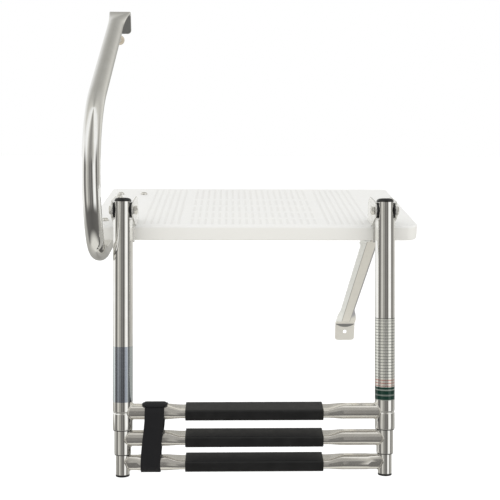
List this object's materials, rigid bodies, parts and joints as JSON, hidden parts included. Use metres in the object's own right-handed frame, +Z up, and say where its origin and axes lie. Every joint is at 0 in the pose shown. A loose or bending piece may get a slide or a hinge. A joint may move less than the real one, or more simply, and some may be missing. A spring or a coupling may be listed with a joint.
{
  "type": "boat boarding ladder",
  "caption": "Transom swim platform with a curved side handrail, a diagonal strut and a hinged telescoping ladder of rubber-sleeved steps held shut by a strap.",
  "frame": {"origin": "middle of the deck's rear vertical face, which bears on the boat's transom", "axes": "+Y points into the boat's transom, +Z is up, +X is the right of a person facing the boat"},
  "size_m": [0.553, 0.4559, 0.7297],
  "materials": {
    "white_plastic": "moulded, off-white, semi-matt with a fine grip texture",
    "polished_steel": "mirror-polished stainless steel",
    "satin_steel": "satin stainless steel plate",
    "black_rubber": "black ribbed rubber",
    "black_nylon": "black moulded nylon",
    "black_webbing": "woven black webbing",
    "tan_rubber": "tan rubber pad"
  },
  "bodies": {
    "platform": {"deck": "white_plastic", "hinge_bracket_left": "satin_steel", "hinge_bracket_right": "satin_steel", "bracket_bolt_left": "polished_steel", "bracket_bolt_right": "polished_steel", "bracket_screw_left": "polished_steel", "bracket_screw_right": "polished_steel", "bracket_nut_left": "polished_steel", "bracket_nut_right": "polished_steel", "hinge_bolt_left": "polished_steel", "hinge_bolt_right": "polished_steel", "hinge_nut_left": "polished_steel", "hinge_nut_right": "polished_steel", "hinge_washer_left_outer": "black_nylon", "hinge_washer_left_inner": "black_nylon", "hinge_washer_right_outer": "black_nylon", "hinge_washer_right_inner": "black_nylon", "handrail": "polished_steel", "handrail_bolt_front": "polished_steel", "handrail_bolt_rear": "polished_steel", "handrail_nut_front": "polished_steel", "handrail_nut_rear": "polished_steel", "rail_standoff_stud": "satin_steel", "rail_standoff_pad": "tan_rubber", "support_strut": "satin_steel", "transom_angle": "satin_steel", "angle_bolt_outer": "polished_steel", "angle_bolt_inner": "polished_steel", "angle_nut_outer": "polished_steel", "angle_nut_inner": "polished_steel"},
    "ladder": {"upper_tube_left": "polished_steel", "upper_tube_right": "polished_steel", "top_cap_left": "black_nylon", "top_cap_right": "black_nylon", "upper_bush_left": "black_nylon", "upper_bush_right": "black_nylon", "upper_rung": "polished_steel", "upper_tread": "black_rubber", "strap": "black_webbing"},
    "middle_section": {"middle_tube_left": "polished_steel", "middle_tube_right": "polished_steel", "middle_slider_left": "black_nylon", "middle_slider_right": "black_nylon", "middle_bush_left": "black_nylon", "middle_bush_right": "black_nylon", "middle_rung": "polished_steel", "middle_tread": "black_rubber"},
    "lower_section": {"lower_tube_left": "polished_steel", "lower_tube_right": "polished_steel", "lower_slider_left": "black_nylon", "lower_slider_right": "black_nylon", "foot_cap_left": "black_nylon", "foot_cap_right": "black_nylon", "lower_rung": "polished_steel", "lower_tread": "black_rubber"}
  },
  "joints": [
    {"name": "ladder_hinge", "type": "hinge", "parent": "platform", "child": "ladder", "pos_m": [0, -0.3284, 0.0435], "axis": [-1, 0, 0], "range_deg": [0, 175]},
    {"name": "step_2_slide", "type": "slide", "parent": "ladder", "child": "middle_section", "axis": [0, -0.2706, -0.9627], "range_m": [0, 0.235], "deforming": ["strap"]},
    {"name": "step_3_slide", "type": "slide", "parent": "middle_section", "child": "lower_section", "axis": [0, -0.2706, -0.9627], "range_m": [0, 0.235]}
  ]
}
